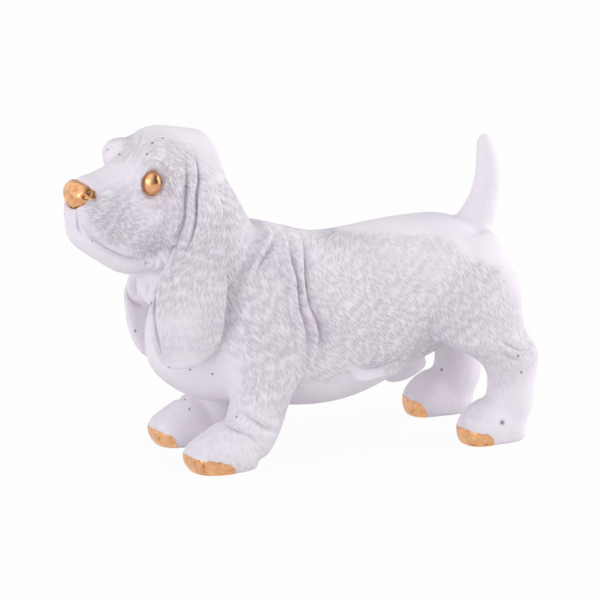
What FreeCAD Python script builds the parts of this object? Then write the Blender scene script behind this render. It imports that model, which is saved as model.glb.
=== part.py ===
"""Standing basset hound ornament in matt white cast resin, with gilded nose, eyes and toes.

The hound faces -X and stands on the floor plane z = 0, its left side towards -Y. It is cast in sections that
plug into each other with round pegs: a trunk with the neck, shoulders and thighs, a head, two hanging ears,
four lower legs and a tail. The nose, the eyes and the leaf on the toes are separate gilded pieces.
All sizes are in millimetres. Tables named shares give each station of a form as shares of the named sizes.
"""

import FreeCAD, Part
import math
import os

from FreeCAD import Vector

# Trunk: a barrel from the breastbone to the rump
back_height = 84.2  # floor to the top of the loin
trunk_length = 143.2
trunk_width = 54.0
breast_x = -55.0  # foremost point of the breast
trunk_squareness = 0.9  # below 1 fills the corners of the barrel's sections
# along the trunk, half width, top, bottom: shares of trunk_length, half trunk_width, back_height, back_height
trunk_station_shares = [
    (0.000, 0.14, 0.62, 0.47),
    (0.018, 0.40, 0.70, 0.40),
    (0.055, 0.59, 0.81, 0.34),
    (0.116, 0.74, 0.93, 0.28),
    (0.204, 0.87, 1.00, 0.243),
    (0.320, 0.96, 1.035, 0.215),
    (0.435, 1.00, 0.978, 0.195),
    (0.558, 0.98, 0.968, 0.216),
    (0.660, 0.94, 0.986, 0.28),
    (0.762, 0.92, 0.993, 0.36),
    (0.850, 0.87, 0.980, 0.42),
    (0.925, 0.72, 0.91, 0.475),
    (0.976, 0.52, 0.82, 0.54),
    (1.000, 0.24, 0.735, 0.60),
]

# Neck: a thick column of loose skin from the breast up into the skull
neck_depth = 52.0  # throat to nape at its thickest
neck_width = 40.0
neck_height = 52.0
neck_along_share = 0.1257  # of trunk_length behind the breast
neck_foot_share = 0.7126  # of back_height
# height, back shift, half depth, half width: shares of neck_height, neck_depth, half neck_depth, half neck_width
neck_station_shares = [
    (0.00, 0.05, 0.82, 0.92),
    (0.20, 0.015, 0.90, 0.98),
    (0.40, 0.03, 0.88, 0.98),
    (0.60, 0.02, 0.75, 0.92),
    (0.80, -0.02, 0.61, 0.86),
    (1.00, -0.07, 0.42, 0.76),
]
neck_seam_up_share = 0.49  # of neck_height above its foot, where the head's casting starts
neck_seam_tilt = 22.0  # degrees that the seam rises towards the nape

# Head: skull, muzzle with hanging lips, and the lower jaw
head_length = 61.4  # occiput to the front of the muzzle
skull_width = 37.0
head_height = 55.0  # underside of the jaw to the crown
head_back_share = 0.192  # of neck_depth behind the middle of the neck
jaw_up_share = 0.26  # of neck_height above its foot, for the underside of the jaw
head_squareness = 0.92
lip_flare = 0.14  # how much wider the sections are low down, where the lips hang
# forward, half width, top, bottom: shares of head_length, half skull_width, head_height, head_height
head_station_shares = [
    (0.00, 0.30, 0.70, 0.48),
    (0.05, 0.66, 0.84, 0.34),
    (0.17, 0.92, 0.96, 0.22),
    (0.36, 1.00, 1.00, 0.14),
    (0.53, 0.95, 0.965, 0.12),
    (0.64, 0.78, 0.83, 0.14),
    (0.74, 0.66, 0.762, 0.20),
    (0.85, 0.62, 0.718, 0.27),
    (0.935, 0.50, 0.686, 0.33),
    (0.985, 0.37, 0.58, 0.36),
    (1.000, 0.20, 0.49, 0.40),
]
jaw_width = 21.0
# forward, half width, top, bottom: shares of head_length, half jaw_width, head_height, head_height
jaw_station_shares = [
    (0.40, 0.70, 0.20, 0.02),
    (0.52, 1.00, 0.22, -0.01),
    (0.64, 1.00, 0.26, 0.00),
    (0.76, 0.92, 0.30, 0.07),
    (0.87, 0.82, 0.37, 0.155),
    (0.955, 0.64, 0.42, 0.23),
    (0.995, 0.36, 0.42, 0.30),
]
# Brow pads over the eyes
brow_radius = 6.8
left_brow_place_shares = (0.525, 0.27, 0.79)  # forward of head_length, out of skull_width, up of head_height
right_brow_place_shares = (0.59, 0.27, 0.785)

# Nose: two rounded wings over a blunt pad
nose_width = 15.4
nose_height = 10.4
nose_depth = 9.4
nose_place_shares = (1.006, 0.0, 0.584)  # of the nose's tip, as for the brow
nose_squareness = 0.85
nose_flare = -0.12
# forward, half width, rise, drop: shares of nose_depth, half nose_width, half nose_height, half nose_height
nose_station_shares = [
    (0.00, 0.80, 0.80, 0.70),
    (0.30, 0.98, 0.98, 0.92),
    (0.65, 1.00, 1.00, 1.00),
    (0.88, 0.78, 0.72, 0.85),
    (1.00, 0.40, 0.32, 0.50),
]
nostril_radius = 1.3
nostril_depth = 2.2
nostril_place_shares = (0.25, -0.075)  # out of nose_width, up of nose_height

# Eyes: balls set into the skull
eye_radius = 5.2
eye_bulge = 3.0  # how far the ball stands out of the skull
eye_seat_clearance = 0.2
eye_place_shares = (0.538, 0.392, 0.684)  # of the eye's middle on the skull's side, as for the brow

# Ears: long leaves that hang from the sides of the skull
ear_length = 76.0  # root to tip
ear_width = 32.4
ear_thickness = 4.6
ear_place_shares = (0.379, 0.66, 0.782)  # of the middle of the ear's root line, as for the brow
# down, back shift, half width, half thickness, out: shares of ear_length, ear_width, half ear_width,
# half ear_thickness, and the distance from the part's middle to the hanging ear
ear_station_shares = [
    (0.00, 0.21, 0.22, 1.00, 0.46),
    (0.06, 0.25, 0.34, 1.30, 0.60),
    (0.16, 0.28, 0.40, 1.30, 0.78),
    (0.30, 0.28, 0.46, 1.10, 0.90),
    (0.40, 0.21, 0.62, 1.00, 0.96),
    (0.50, 0.08, 0.84, 1.00, 1.00),
    (0.60, 0.01, 0.98, 1.00, 1.03),
    (0.72, -0.02, 1.00, 1.00, 1.03),
    (0.84, -0.01, 0.92, 0.95, 1.00),
    (0.94, -0.02, 0.70, 0.85, 0.96),
    (1.00, -0.03, 0.30, 0.55, 0.94),
]
ear_peg_place_shares = (0.265, 0.79, 0.118)  # back of ear_width, out as in the table, down of ear_length
right_ear_swing = 0.8  # degrees that the right ear swings further back than the left one
right_ear_back = 10.4  # how much further back, lower and closer to the neck the right ear hangs
right_ear_drop = 7.6
right_ear_tuck = 0.6

# Front legs: one ring stack from the paw to the shoulder, cut at the elbow seam
front_leg_height = 80.0
front_leg_depth = 26.8
front_leg_width = 22.5
front_track = 41.0  # between the centres of the front legs
front_leg_along_share = 0.2584  # of trunk_length behind the breast
front_seam_share = 0.3875  # of front_leg_height above the floor
front_right_step = 4.2  # how far the right front leg stands behind the left one
# height, back shift, spread, half depth, half width: shares of front_leg_height, front_leg_depth, half
# front_track, half front_leg_depth, half front_leg_width
front_leg_station_shares = [
    (0.05, -0.20, 1.00, 0.46, 0.66),
    (0.10, -0.24, 1.00, 0.74, 0.84),
    (0.165, -0.18, 1.00, 0.81, 0.93),
    (0.25, -0.10, 1.00, 0.83, 0.95),
    (0.34, -0.02, 1.00, 0.88, 0.99),
    (0.43, 0.07, 0.98, 1.10, 1.06),
    (0.54, 0.13, 0.95, 1.40, 1.14),
    (0.66, 0.15, 0.91, 1.48, 1.16),
    (0.80, 0.16, 0.77, 1.34, 1.06),
    (0.94, 0.18, 0.54, 0.98, 0.82),
]
front_paw_length = 27.8
front_paw_width = 21.5
front_paw_height = 18.0
front_heel_share = -0.125  # of front_leg_depth behind the middle of the leg
front_paw_turn = 3.0  # degrees that the paw points outwards
# forward, half width, top, bottom: shares of front_paw_length, half front_paw_width, front_paw_height twice
front_paw_station_shares = [
    (0.00, 0.36, 0.36, 0.04),
    (0.12, 0.76, 0.66, -0.16),
    (0.32, 0.96, 0.98, -0.28),
    (0.50, 1.00, 1.00, -0.30),
    (0.68, 0.99, 0.84, -0.22),
    (0.83, 0.92, 0.70, -0.12),
    (0.94, 0.74, 0.57, 0.02),
    (1.00, 0.40, 0.42, 0.15),
]

# Hind legs: one ring stack from the paw to the thigh, cut below the stifle
hind_leg_height = 78.0
hind_leg_depth = 20.0
hind_leg_width = 18.0
hind_track = 46.0  # between the centres of the hind legs
hind_leg_along_share = 0.9567  # of trunk_length behind the breast
hind_seam_share = 0.4167  # of hind_leg_height above the floor
hind_right_step = -0.9
# as for the front legs, with the hind sizes
hind_leg_station_shares = [
    (0.06, -0.12, 1.00, 0.86, 0.94),
    (0.15, -0.04, 1.00, 0.92, 0.96),
    (0.24, 0.02, 1.00, 0.90, 0.98),
    (0.31, 0.04, 1.00, 0.93, 1.00),
    (0.37, 0.01, 0.99, 1.08, 1.05),
    (0.44, -0.17, 0.96, 1.42, 1.16),
    (0.52, -0.54, 0.90, 1.82, 1.28),
    (0.64, -0.67, 0.80, 2.00, 1.30),
    (0.77, -0.64, 0.70, 1.92, 1.20),
    (0.89, -0.66, 0.56, 1.48, 0.98),
    (0.98, -0.78, 0.40, 0.74, 0.66),
]
hind_paw_length = 25.8
hind_paw_width = 18.4
hind_paw_height = 17.0
hind_heel_share = 0.27  # of hind_leg_depth behind the middle of the leg
hind_paw_turn = 3.0
# as for the front paws, with the hind sizes
hind_paw_station_shares = [
    (0.00, 0.36, 0.40, 0.05),
    (0.14, 0.80, 0.80, -0.18),
    (0.36, 0.96, 0.98, -0.28),
    (0.58, 1.00, 1.00, -0.28),
    (0.74, 1.00, 0.92, -0.26),
    (0.87, 0.90, 0.78, -0.20),
    (0.95, 0.72, 0.64, -0.08),
    (1.00, 0.38, 0.46, 0.08),
]

# Leaf on the toes: a skin over the front of each paw
leaf_thickness = 0.3
front_leaf_reach = 11.5  # how far the leaf reaches back from the toes, at the floor
front_leaf_rise = 6.6
hind_leaf_reach = 7.5
hind_leaf_rise = 6.0
leaf_outward_share = 0.4  # how much further the leaf reaches back for each step outwards

# Tail: a tapering horn, carried upright
tail_length = 37.6
tail_root_radius = 7.9
tail_along_share = 0.912  # of trunk_length behind the breast
tail_root_up_share = 0.9026  # of back_height
# back, up, radius: shares of tail_length, tail_length, tail_root_radius
tail_station_shares = [
    (0.00, 0.00, 1.00),
    (0.10, 0.16, 0.82),
    (0.16, 0.32, 0.70),
    (0.195, 0.50, 0.62),
    (0.20, 0.66, 0.56),
    (0.185, 0.80, 0.48),
    (0.165, 0.92, 0.34),
    (0.158, 0.97, 0.16),
]

# Sheath under the belly: a short cone that points forwards and down
sheath_length = 17.0
sheath_radius = 5.4
sheath_along_share = 0.722  # of trunk_length behind the breast
sheath_up_share = 0.31  # of back_height
sheath_slope = 24.0  # degrees below level
# along, radius: shares of sheath_length, sheath_radius
sheath_station_shares = [
    (-0.5, 0.80),
    (-0.1, 1.00),
    (0.3, 0.80),
    (0.5, 0.45),
]

# Pegs and sockets between the castings
peg_clearance = 0.15
peg_end_gap = 0.5
neck_peg_radius = 8.0
neck_peg_length = 12.0
leg_peg_radius = 3.6
leg_peg_length = 9.0
tail_peg_radius = 3.0
tail_peg_length = 12.0
ear_peg_radius = 1.8
ear_peg_length = 9.0

# Shared by all forms
ring_points = 12
ring_start = 77.0  # degrees round from the side, so that no form's seam lies on the part's middle plane
overrun = 200.0  # size of the blocks that trim the castings
mesh_tolerance = 0.02  # for measuring the finished part

# Places worked out from the sizes above
neck_x = breast_x + trunk_length * neck_along_share
neck_foot_z = back_height * neck_foot_share
neck_seam_z = neck_foot_z + neck_height * neck_seam_up_share
head_back_x = neck_x + neck_depth * head_back_share
jaw_z = neck_foot_z + neck_height * jaw_up_share
front_leg_x = breast_x + trunk_length * front_leg_along_share
hind_leg_x = breast_x + trunk_length * hind_leg_along_share
tail_root_x = breast_x + trunk_length * tail_along_share
tail_root_z = back_height * tail_root_up_share

UP = Vector(0, 0, 1)
BACK = Vector(1, 0, 0)
RIGHT = Vector(0, 1, 0)
LEFT_SIDE = -1
RIGHT_SIDE = 1


def power(value, exponent):
    """The signed power that turns an ellipse's cosine and sine into a fuller or leaner section."""
    return math.copysign(abs(value) ** exponent, value)


def ring(centre, across, upward, half_width, rise, drop, squareness=1.0, flare=0.0):
    """A closed smooth section: half_width to each side, rise above the centre and drop below it."""
    points = []
    for step in range(ring_points):
        angle = math.radians(ring_start) + math.tau * step / ring_points
        side = power(math.cos(angle), squareness)
        lift = power(math.sin(angle), squareness)
        height = rise if lift > 0 else drop
        width = half_width * (1 - flare * lift)
        points.append(centre + across * (width * side) + upward * (height * lift))
    curve = Part.BSplineCurve()
    curve.interpolate(Points=points, PeriodicFlag=True)
    return Part.Wire([curve.toShape()])


def loft(sections):
    """A solid skinned smoothly through closed sections, whichever way they run."""
    solid = Part.makeLoft(sections, True, False)
    if solid.Volume < 0:
        solid = Part.makeLoft(list(reversed(sections)), True, False)
    return solid


def slab_sections(shares, start, length, half_width, base, height, squareness=1.0, flare=0.0):
    """Upright sections square to X, from a table of along, half width, top and bottom shares."""
    sections = []
    for along, width, top, bottom in shares:
        top_z = base + height * top
        bottom_z = base + height * bottom
        half = (top_z - bottom_z) / 2
        centre = Vector(start + length * along, 0, bottom_z + half)
        sections.append(ring(centre, RIGHT, UP, half_width * width, half, half, squareness, flare))
    return sections


def half_space(point, normal):
    """A large block that fills everything ahead of the plane through point."""
    block = Part.makeBox(overrun, overrun, overrun, Vector(-overrun / 2, -overrun / 2, 0))
    turn = FreeCAD.Rotation(UP, normal)
    block.Placement = FreeCAD.Placement(point, turn)
    return block


def peg(point, direction, radius, length):
    return Part.makeCylinder(radius, length, point, direction)


def socket(point, direction, radius, length):
    """The hole that takes a peg: wider by the clearance, and deeper by the end gap."""
    return Part.makeCylinder(radius + peg_clearance, length + peg_end_gap, point, direction)


def head_place(shares, side=0):
    """A point on the head: forward, out to one side and up, as shares of its length, width and height."""
    forward, out, up = shares
    return Vector(head_back_x - head_length * forward, side * skull_width * out, jaw_z + head_height * up)


def trunk_barrel():
    return loft(
        slab_sections(
            trunk_station_shares, breast_x, trunk_length, trunk_width / 2, 0, back_height, trunk_squareness
        )
    )


def neck_column():
    sections = []
    for height, shift, depth, width in neck_station_shares:
        centre = Vector(neck_x + neck_depth * shift, 0, neck_foot_z + neck_height * height)
        half_depth = neck_depth / 2 * depth
        half_width = neck_width / 2 * width
        sections.append(ring(centre, BACK, RIGHT, half_depth, half_width, half_width))
    return loft(sections)


class Limb:
    """The sizes of one pair of legs, front or hind."""

    def __init__(self, middle_x, track, step, seam_share, leg_sizes, leg_shares, paw_sizes, paw_shares, leaf_sizes):
        self.middle_x = middle_x
        self.track = track
        self.step = step
        self.leg_height, self.leg_depth, self.leg_width = leg_sizes
        self.seam_z = self.leg_height * seam_share
        self.leg_shares = leg_shares
        self.paw_length, self.paw_width, self.paw_height, heel_share, self.paw_turn = paw_sizes
        self.heel_x = middle_x + self.leg_depth * heel_share
        self.paw_shares = paw_shares
        self.leaf_reach, self.leaf_rise = leaf_sizes

    def step_at(self, side, up=0):
        """How far back this side stands: all of the step at the floor, fading out at the shoulder."""
        if side == LEFT_SIDE:
            return 0
        return self.step * min(1, 2 * (1 - up)) ** 2

    def sole(self, side):
        """The back of the sole, on the floor."""
        return Vector(self.heel_x + self.step_at(side), side * self.track / 2, 0)

    def column(self, side):
        """A ring stack from the paw up into the trunk."""
        sections = []
        for up, shift, spread, half_depth, half_width in self.leg_shares:
            x = self.middle_x + self.step_at(side, up) + self.leg_depth * shift
            centre = Vector(x, side * self.track / 2 * spread, self.leg_height * up)
            half = self.leg_width / 2 * half_width
            sections.append(ring(centre, BACK, RIGHT, self.leg_depth / 2 * half_depth, half, half))
        return loft(sections)

    def paw(self, side, skin=0):
        """The paw, turned outwards and grown all over by skin, before its sole is cut flat."""
        heel = self.sole(side)
        sections = []
        for forward, half_width, top, bottom in self.paw_shares:
            half = self.paw_height * (top - bottom) / 2
            ahead = self.paw_length * forward + skin * (2 * forward - 1)
            centre = heel + Vector(-ahead, 0, self.paw_height * bottom + half)
            width = self.paw_width / 2 * half_width + skin
            sections.append(ring(centre, RIGHT, UP, width, half + skin, half + skin))
        foot = loft(sections)
        foot.rotate(heel, UP, -side * self.paw_turn)
        return foot

    def peg_foot(self, side):
        """Where the leg's peg starts, on the seam."""
        x = self.middle_x + self.step_at(side, self.seam_z / self.leg_height)
        return Vector(x, side * self.track / 2, self.seam_z)

    def upper(self, column, side):
        """The part of the column above the seam, which belongs to the trunk."""
        return column.common(half_space(self.peg_foot(side), UP))

    def lower(self, column, foot, side, barrel):
        """The leg below its seam, with the paw, seated against the barrel, and a peg on top."""
        below = column.common(half_space(self.peg_foot(side), -UP))
        leg = below.fuse(foot).common(half_space(self.sole(side), UP)).cut(barrel)
        leg = leg.fuse(peg(self.peg_foot(side), UP, leg_peg_radius, leg_peg_length))
        return leg.removeSplitter()

    def toe_leaf(self, foot, side):
        """The leaf over the toes: the grown paw less the paw, ahead of a slanting plane."""
        edge = self.sole(side) - BACK * (self.paw_length - self.leaf_reach)
        outward = side * self.leaf_rise * leaf_outward_share
        ahead = half_space(edge, Vector(-self.leaf_rise, outward, -self.leaf_reach))
        tip = self.paw(side, leaf_thickness).common(ahead)
        return tip.common(half_space(self.sole(side), UP)).cut(foot)


FRONT = Limb(
    front_leg_x,
    front_track,
    front_right_step,
    front_seam_share,
    (front_leg_height, front_leg_depth, front_leg_width),
    front_leg_station_shares,
    (front_paw_length, front_paw_width, front_paw_height, front_heel_share, front_paw_turn),
    front_paw_station_shares,
    (front_leaf_reach, front_leaf_rise),
)
HIND = Limb(
    hind_leg_x,
    hind_track,
    hind_right_step,
    hind_seam_share,
    (hind_leg_height, hind_leg_depth, hind_leg_width),
    hind_leg_station_shares,
    (hind_paw_length, hind_paw_width, hind_paw_height, hind_heel_share, hind_paw_turn),
    hind_paw_station_shares,
    (hind_leaf_reach, hind_leaf_rise),
)


def ear_point(side, back, out, down):
    """A point on the hanging ear, from shares of its width, its distance from the middle and its length."""
    root = head_place(ear_place_shares, side)
    return Vector(root.x + ear_width * back, root.y * out, root.z - ear_length * down)


def hang(shape, side):
    """Moves an ear, its peg or its socket from where the left ear hangs to where this side's ear hangs."""
    if side == RIGHT_SIDE:
        shape.rotate(head_place(ear_place_shares, side), RIGHT, -right_ear_swing)
        shape.translate(Vector(right_ear_back, -side * right_ear_tuck, -right_ear_drop))
    return shape


def ear_peg(side, maker):
    """The peg, or with the socket maker the hole, that holds an ear to the skull."""
    start = ear_point(side, *ear_peg_place_shares)
    return hang(maker(start, -side * RIGHT, ear_peg_radius, ear_peg_length), side)


def ear(side):
    sections = []
    for down, shift, half_width, half_thickness, out in ear_station_shares:
        centre = ear_point(side, shift, out, down)
        half = ear_thickness / 2 * half_thickness
        sections.append(ring(centre, BACK, RIGHT, ear_width / 2 * half_width, half, half))
    return hang(loft(sections), side)


def skull():
    return loft(
        slab_sections(
            head_station_shares,
            head_back_x,
            -head_length,
            skull_width / 2,
            jaw_z,
            head_height,
            head_squareness,
            lip_flare,
        )
    )


def lower_jaw():
    return loft(slab_sections(jaw_station_shares, head_back_x, -head_length, jaw_width / 2, jaw_z, head_height))


def brow(side):
    shares = left_brow_place_shares if side == LEFT_SIDE else right_brow_place_shares
    return Part.makeSphere(brow_radius, head_place(shares, side))


def eye(side, clearance=0):
    """The ball of an eye, or with a clearance the hollow that it sits in."""
    centre = head_place(eye_place_shares, side) + RIGHT * (side * (eye_bulge - eye_radius))
    return Part.makeSphere(eye_radius + clearance, centre)


def nose_pad():
    """The nose before its nostrils are drilled, widest at its wings."""
    tip = head_place(nose_place_shares)
    sections = []
    for forward, half_width, rise, drop in nose_station_shares:
        centre = tip + BACK * (nose_depth * (1 - forward))
        half = nose_width / 2 * half_width
        top = nose_height / 2 * rise
        bottom = nose_height / 2 * drop
        sections.append(ring(centre, RIGHT, UP, half, top, bottom, nose_squareness, nose_flare))
    return loft(sections)


def nose():
    """The nose pad with a nostril drilled in each wing."""
    tip = head_place(nose_place_shares)
    pad = nose_pad()
    out, up = nostril_place_shares
    for side in (LEFT_SIDE, RIGHT_SIDE):
        mouth = tip + Vector(0, side * nose_width * out, nose_height * up)
        pad = pad.cut(Part.makeCylinder(nostril_radius, nostril_depth, mouth, BACK))
    return pad


def tail_points():
    """The tail's centre line, from inside the rump to the tip."""
    root = Vector(tail_root_x, 0, tail_root_z)
    return [root + Vector(tail_length * back, 0, tail_length * up) for back, up, _ in tail_station_shares]


def tail():
    points = tail_points()
    sections = []
    for index, point in enumerate(points):
        along = points[min(index + 1, len(points) - 1)] - points[max(index - 1, 0)]
        across = along.cross(RIGHT).normalize()
        radius = tail_root_radius * tail_station_shares[index][2]
        sections.append(ring(point, across, RIGHT, radius, radius, radius))
    return loft(sections)


def tail_peg(maker):
    """The peg, or with the socket maker the hole, that runs down from the tail's root into the rump."""
    root, above = tail_points()[:2]
    return maker(above, (root - above).normalize(), tail_peg_radius, tail_peg_length)


def sheath():
    turn = math.radians(sheath_slope)
    along = Vector(-math.cos(turn), 0, -math.sin(turn))
    upward = Vector(-math.sin(turn), 0, math.cos(turn))
    middle = Vector(breast_x + trunk_length * sheath_along_share, 0, back_height * sheath_up_share)
    sections = []
    for forward, size in sheath_station_shares:
        radius = sheath_radius * size
        sections.append(ring(middle + along * (sheath_length * forward), RIGHT, upward, radius, radius, radius))
    return loft(sections)


def neck_seam():
    """The point and the upward normal of the seam between the head's casting and the trunk's."""
    turn = math.radians(neck_seam_tilt)
    return Vector(neck_x, 0, neck_seam_z), Vector(-math.sin(turn), 0, math.cos(turn))


def solid_head(neck):
    """The head's casting above the neck seam, with its peg, and hollows for the nose and the eyes."""
    point, normal = neck_seam()
    head = skull().fuse([lower_jaw(), brow(LEFT_SIDE), brow(RIGHT_SIDE), neck])
    head = head.common(half_space(point, normal))
    for hollow in (nose_pad(), eye(LEFT_SIDE, eye_seat_clearance), eye(RIGHT_SIDE, eye_seat_clearance)):
        head = head.cut(hollow)
    return head.fuse(peg(point, -normal, neck_peg_radius, neck_peg_length))


def build():
    """All castings and gilded pieces, by name."""
    barrel = trunk_barrel()
    neck = neck_column()
    head = solid_head(neck.copy())
    point, normal = neck_seam()

    nodes = {}
    forms = [neck.common(half_space(point, -normal)), sheath()]
    sockets = [socket(point, -normal, neck_peg_radius, neck_peg_length), tail_peg(socket)]
    for side, word in ((LEFT_SIDE, "left"), (RIGHT_SIDE, "right")):
        for limb, end in ((FRONT, "front"), (HIND, "hind")):
            column = limb.column(side)
            foot = limb.paw(side)
            nodes[f"{end}_{word}_toe_leaf"] = limb.toe_leaf(foot.copy(), side)
            nodes[f"{end}_{word}_leg"] = limb.lower(column.copy(), foot, side, barrel.copy())
            forms.append(limb.upper(column, side))
            sockets.append(socket(limb.peg_foot(side), UP, leg_peg_radius, leg_peg_length))

    body = barrel.fuse(forms)
    nodes["tail"] = tail().cut(body.copy()).fuse(tail_peg(peg)).removeSplitter()
    trunk = body.cut(sockets).cut(head.copy())
    for side, word in ((LEFT_SIDE, "left"), (RIGHT_SIDE, "right")):
        leaf = ear(side).cut([head.copy(), trunk.copy()])
        nodes[f"{word}_ear"] = leaf.fuse(ear_peg(side, peg)).removeSplitter()
        nodes[f"{word}_eye"] = eye(side)
    nodes["trunk"] = trunk
    nodes["head"] = head.cut([ear_peg(LEFT_SIDE, socket), ear_peg(RIGHT_SIDE, socket)])
    nodes["nose"] = nose()
    return nodes


def measured_box(shapes):
    """The box round all shapes, taken from their meshed surfaces."""
    box = FreeCAD.BoundBox()
    for shape in shapes:
        points, _ = shape.tessellate(mesh_tolerance)
        for point in points:
            box.add(point)
    return box


def main():
    nodes = build()
    box = measured_box(nodes.values())
    to_origin = Vector(-(box.XMin + box.XMax) / 2, -(box.YMin + box.YMax) / 2, -box.ZMin)
    os.makedirs("parts", exist_ok=True)
    for name, shape in nodes.items():
        shape.translate(to_origin)
        shape.exportStep(f"parts/{name}.step")
        print(name, len(shape.Solids), "solids", round(shape.Volume, 1), "cubic mm", "valid", shape.isValid())
    print("shift", to_origin, "size", box.XLength, box.YLength, box.ZLength)


main()
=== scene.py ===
# %% [markdown]
# # A standing basset hound in matt white cast resin
# The real figure is cast in white resin from a clay original. A modeller built the clay up, pressed folds
# of skin into it and combed the coat with a small loop tool. Nose, eyes and toes are covered with copper
# gold leaf. The scene goes much the same way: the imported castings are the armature, one skin of clay goes
# over them, the lie of the coat is marked on it, folds and pinholes are pressed in, and the figure is cut
# into its castings again. Castings modelled one by one would show seams that the real figure hasn't got.

import math

import bpy
import numpy as np
from mathutils import Matrix, Vector, noise
from mathutils.bvhtree import BVHTree


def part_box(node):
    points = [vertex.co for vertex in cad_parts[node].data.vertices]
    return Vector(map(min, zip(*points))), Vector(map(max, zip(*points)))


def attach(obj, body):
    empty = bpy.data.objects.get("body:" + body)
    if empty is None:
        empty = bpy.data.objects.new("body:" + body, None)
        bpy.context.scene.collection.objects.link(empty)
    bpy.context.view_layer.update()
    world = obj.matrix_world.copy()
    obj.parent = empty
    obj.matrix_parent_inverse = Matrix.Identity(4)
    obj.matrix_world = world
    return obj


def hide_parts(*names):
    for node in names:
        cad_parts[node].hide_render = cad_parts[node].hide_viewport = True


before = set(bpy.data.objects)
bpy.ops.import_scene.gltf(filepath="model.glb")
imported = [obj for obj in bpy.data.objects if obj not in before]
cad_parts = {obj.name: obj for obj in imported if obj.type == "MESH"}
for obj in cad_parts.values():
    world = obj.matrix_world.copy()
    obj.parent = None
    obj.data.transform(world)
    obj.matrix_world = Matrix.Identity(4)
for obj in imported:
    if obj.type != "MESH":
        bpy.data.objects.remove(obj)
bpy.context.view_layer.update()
MM = 0.001

# %% [markdown]
# ## Camera
# The camera comes first, because the modelling tools below take places as pixels of the photograph. The
# figure was photographed from far away with a long lens, a little from the front and from above.

# %% Camera at the photograph's angle
AZIMUTH = math.radians(-24)
ELEVATION = math.radians(14.3)
PICTURE = 600
PIXEL = 0.375 * MM  # width of one pixel on the figure
DISTANCE = 8.0
AIM_RIGHT = 3.61 * MM
AIM_UP = 54.57 * MM

to_camera = Vector(
    (
        math.sin(AZIMUTH) * math.cos(ELEVATION),
        -math.cos(AZIMUTH) * math.cos(ELEVATION),
        math.sin(ELEVATION),
    )
)
to_right = Vector((math.cos(AZIMUTH), math.sin(AZIMUTH), 0))
to_top = to_camera.cross(to_right)
aim = to_right * AIM_RIGHT + to_top * AIM_UP

bpy.ops.object.camera_add(location=aim + to_camera * DISTANCE)
camera = bpy.context.object
camera.rotation_euler = to_camera.to_track_quat("Z", "Y").to_euler()
camera.data.lens = camera.data.sensor_width * DISTANCE / (PIXEL * PICTURE)
camera.data.clip_end = 3 * DISTANCE
bpy.context.scene.camera = camera
print("lens", round(camera.data.lens, 1), "mm")


# %% [markdown]
# ## Helpers
# Most steps apply a modifier to one object or move all its points at once.

# %% Small helpers for selecting, applying modifiers and reading points
MERGE_GAP = 0.001 * MM


def only(obj):
    """Selects this object alone and makes it active."""
    bpy.ops.object.select_all(action="DESELECT")
    obj.select_set(True)
    bpy.context.view_layer.objects.active = obj


def apply(obj, kind, **settings):
    """Adds a modifier with these settings and applies it."""
    only(obj)
    modifier = obj.modifiers.new(kind.title(), kind)
    for key, value in settings.items():
        setattr(modifier, key, value)
    bpy.ops.object.modifier_apply(modifier=modifier.name)
    return obj


def copy_of(node, name):
    """A copy of a CAD node's mesh as a new object, with its loose triangles merged."""
    obj = bpy.data.objects.new(name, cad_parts[node].data.copy())
    bpy.context.scene.collection.objects.link(obj)
    only(obj)
    bpy.ops.object.mode_set(mode="EDIT")
    bpy.ops.mesh.select_all(action="SELECT")
    bpy.ops.mesh.remove_doubles(threshold=MERGE_GAP)
    bpy.ops.object.mode_set(mode="OBJECT")
    return obj


def settle(obj):
    """Moves the object's place, turn and scale into its points."""
    only(obj)
    bpy.ops.object.transform_apply(location=True, rotation=True, scale=True)


def join(objects, name):
    only(objects[0])
    for obj in objects:
        obj.select_set(True)
    bpy.ops.object.join()
    bpy.context.object.name = name
    return bpy.context.object


def values_of(items, field, width=3):
    """One field of all items as an array, with as many columns as width says."""
    values = np.empty(len(items) * width)
    items.foreach_get(field, values)
    return values.reshape(-1, width) if width > 1 else values


def points_of(obj):
    return values_of(obj.data.vertices, "co")


def normals_of(obj):
    return values_of(obj.data.vertices, "normal")


def set_points(obj, points):
    obj.data.vertices.foreach_set("co", points.ravel())
    obj.data.update()


def smooth_step(share):
    """Rises from 0 to 1 with level ends."""
    return share * share * (3 - 2 * share)


def tree_of(obj):
    return BVHTree.FromPolygons(
        [v.co for v in obj.data.vertices], [tuple(p.vertices) for p in obj.data.polygons]
    )


# %% [markdown]
# ## The clay body
# The castings are copied and joined, small lumps of clay are added, and a voxel remesh turns it all into
# one skin. A few rounds of smoothing melt the joints into each other, as wet clay does. A remesh loses fine
# detail, so it comes first.

# %% Copy the castings
LEGS = ["front_left_leg", "front_right_leg", "hind_left_leg", "hind_right_leg"]
CASTINGS = ["trunk", "head", "left_ear", "right_ear", "tail"] + LEGS
EYES = {"left_eye": -1, "right_eye": 1}
parts = [copy_of(name, "clay_" + name) for name in CASTINGS]


# %% From the photograph onto the skin
SAME_WAY = 0.3  # how alike two normals are to count as the same side, as a cosine


def on_skin(tree, x, y):
    """The place and normal where the photograph's pixel meets the skin, or None."""
    target = aim + (to_right * (x - PICTURE / 2) - to_top * (y - PICTURE / 2)) * PIXEL
    start = aim + to_camera * DISTANCE
    place, normal, _, _ = tree.ray_cast(start, (target - start).normalized())
    return None if place is None else (place, normal)


def on_other_side(tree, place, normal):
    """The mirrored place on the other side's skin, or None where the skin faces another way there."""
    spot, facing, _, _ = tree.find_nearest(Vector((place.x, -place.y, place.z)))
    if facing.dot(Vector((normal.x, -normal.y, normal.z))) > SAME_WAY:
        return spot, facing
    return None


def middle(node):
    low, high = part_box(node)
    return (low + high) / 2


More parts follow.
